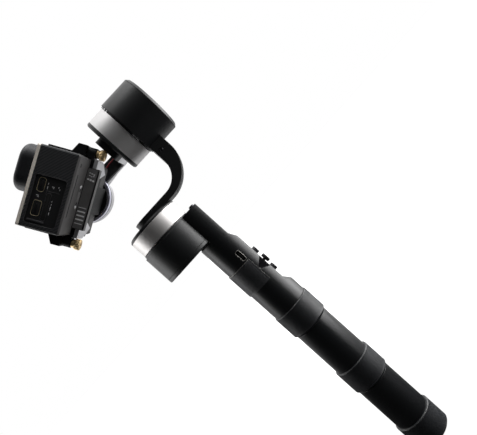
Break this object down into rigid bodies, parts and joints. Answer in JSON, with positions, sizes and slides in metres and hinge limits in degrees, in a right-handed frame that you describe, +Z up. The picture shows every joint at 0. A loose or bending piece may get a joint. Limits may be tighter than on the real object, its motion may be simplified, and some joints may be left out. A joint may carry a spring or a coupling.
{
  "type": "gimbal stabilizer",
  "caption": "Hand-held three-axis motorised camera stabiliser: slim battery handle with control panel, curved arms, ring motors and a screw-clamped action camera.",
  "frame": {"origin": "mouth of the tripod thread, at the centre of the handle's lower end", "axes": "+Z up the handle towards the motors, +X towards the control panel, -X towards the camera, +Y towards the pitch motor"},
  "size_m": [0.0938, 0.0745, 0.263],
  "materials": {
    "knurled_black": "knurled black anodised",
    "tube_black": "satin black anodised",
    "body_black": "satin black anodised",
    "brass": "knurled, bright",
    "contact_brass": "plated",
    "circuit_board": "solder mask",
    "seal_rubber": "matte",
    "cell_wrap": "shrink wrap",
    "button_plastic": "satin moulded",
    "bright_steel": "bright",
    "dark_steel": "black oxide",
    "arm_black": "satin black anodised",
    "silver_aluminium": "fine satin, clear anodised",
    "cover_black": "fine texture",
    "red_insulation": "smooth",
    "motor_black": "satin black anodised",
    "magnet_steel": "nickel plated",
    "lamination_steel": "stacked sheet edges",
    "copper_wire": "enamelled wire",
    "camera_black": "woven texture",
    "camera_trim": "satin moulded",
    "camera_champagne": "satin",
    "lens_black": "satin moulded",
    "lens_glass": "coated",
    "bracket_black": "fine blasted, black anodised",
    "sensor_grey": "fine texture"
  },
  "bodies": {
    "handle": {"battery_cells": "cell_wrap", "battery_tube_lower": "tube_black", "battery_tube_upper": "tube_black", "contact_board": "circuit_board", "control_board": "circuit_board", "grip_band_upper": "knurled_black", "grip_ring_lower": "knurled_black", "grip_ring_middle": "knurled_black", "handle_body": "body_black", "joystick_collar": "button_plastic", "saddle_screw": "dark_steel", "seal_rings": "seal_rubber", "tail_cap": "knurled_black", "tail_contact": "contact_brass", "tripod_insert": "brass", "usb_port": "bright_steel", "yaw_bearings": "bright_steel", "yaw_housing": "motor_black", "yaw_rear_cap": "motor_black", "yaw_stator": "lamination_steel", "yaw_windings": "copper_wire"},
    "yaw_arm": {"yaw_rotor": "silver_aluminium", "yaw_magnets": "magnet_steel", "yaw_rotor_plate": "motor_black", "yaw_arm": "arm_black", "yaw_arm_screws": "dark_steel", "roll_housing": "motor_black", "roll_rear_cap": "motor_black", "roll_stator": "lamination_steel", "roll_windings": "copper_wire", "roll_bearings": "bright_steel"},
    "roll_arm": {"roll_rotor": "silver_aluminium", "roll_magnets": "magnet_steel", "roll_rotor_plate": "motor_black", "pitch_arm": "silver_aluminium", "pitch_arm_nose": "cover_black", "pitch_arm_cover": "cover_black", "pitch_lead": "red_insulation", "pitch_housing": "silver_aluminium", "pitch_stator": "lamination_steel", "pitch_windings": "copper_wire", "pitch_bearings": "bright_steel"},
    "camera_cradle": {"pitch_rotor": "silver_aluminium", "pitch_magnets": "magnet_steel", "cradle_bracket": "bracket_black", "cradle_plate": "silver_aluminium", "sensor_box": "sensor_grey", "camera_body": "camera_black", "camera_front": "camera_champagne", "lens_housing": "lens_black", "lens_glass": "lens_glass"},
    "power_key": {"power_button": "button_plastic"},
    "mode_key": {"mode_button": "button_plastic"},
    "joystick_gimbal": {"joystick_pivot": "bright_steel"},
    "joystick": {"joystick_cap": "button_plastic", "joystick_stick": "button_plastic"},
    "shutter_key": {"shutter_button": "camera_trim"},
    "strap": {"clamp_strap": "bracket_black"},
    "screw_top": {"thumb_screw_top": "brass"},
    "screw_bottom": {"thumb_screw_bottom": "brass"}
  },
  "joints": [
    {"name": "pan", "type": "hinge", "parent": "handle", "child": "yaw_arm", "pos_m": [-0.0175, 0, 0.1826], "axis": [0, 0, 1], "range_deg": [-160, 160]},
    {"name": "roll", "type": "hinge", "parent": "yaw_arm", "child": "roll_arm", "pos_m": [0.0109, 0, 0.2375], "axis": [1, 0, 0], "range_deg": [-45, 45]},
    {"name": "pitch", "type": "hinge", "parent": "roll_arm", "child": "camera_cradle", "pos_m": [-0.036, 0.0335, 0.2375], "axis": [0, 1, 0], "range_deg": [-223.5, 96.5]},
    {"name": "power_press", "type": "slide", "parent": "handle", "child": "power_key", "axis": [-1, 0, 0], "range_m": [0, 0.0005], "stiffness_N_per_m": 300},
    {"name": "mode_press", "type": "slide", "parent": "handle", "child": "mode_key", "axis": [-1, 0, 0], "range_m": [0, 0.0005], "stiffness_N_per_m": 300},
    {"name": "joystick_tilt_up", "type": "hinge", "parent": "handle", "child": "joystick_gimbal", "pos_m": [0.0015, 0, 0.1337], "axis": [0, 1, 0], "range_deg": [-5, 5], "stiffness_Nm_per_rad": 0.004},
    {"name": "joystick_tilt_side", "type": "hinge", "parent": "joystick_gimbal", "child": "joystick", "pos_m": [0.0015, 0, 0.1337], "axis": [0, 0, 1], "range_deg": [-5, 5], "stiffness_Nm_per_rad": 0.004},
    {"name": "shutter_press", "type": "slide", "parent": "camera_cradle", "child": "shutter_key", "axis": [-0.8949, 0, -0.4462], "range_m": [0, 0.0004], "stiffness_N_per_m": 300},
    {"name": "strap_slide", "type": "slide", "parent": "camera_cradle", "child": "strap", "axis": [-0.4462, 0, 0.8949], "range_m": [0, 0.003]},
    {"name": "screw_top_turn", "type": "hinge", "parent": "camera_cradle", "child": "screw_top", "pos_m": [-0.01425, -0.0096, 0.24834], "axis": [0.4462, 0, -0.8949], "range_deg": [0, 2160]},
    {"name": "screw_bottom_turn", "type": "hinge", "parent": "camera_cradle", "child": "screw_bottom", "pos_m": [-0.05775, -0.0096, 0.22666], "axis": [0.4462, 0, -0.8949], "range_deg": [0, 2160]}
  ],
  "couplings": [
    {"joint": "screw_top_turn", "follows": "strap_slide", "rad_per_m": 12565},
    {"joint": "screw_bottom_turn", "follows": "strap_slide", "rad_per_m": 12565}
  ]
}
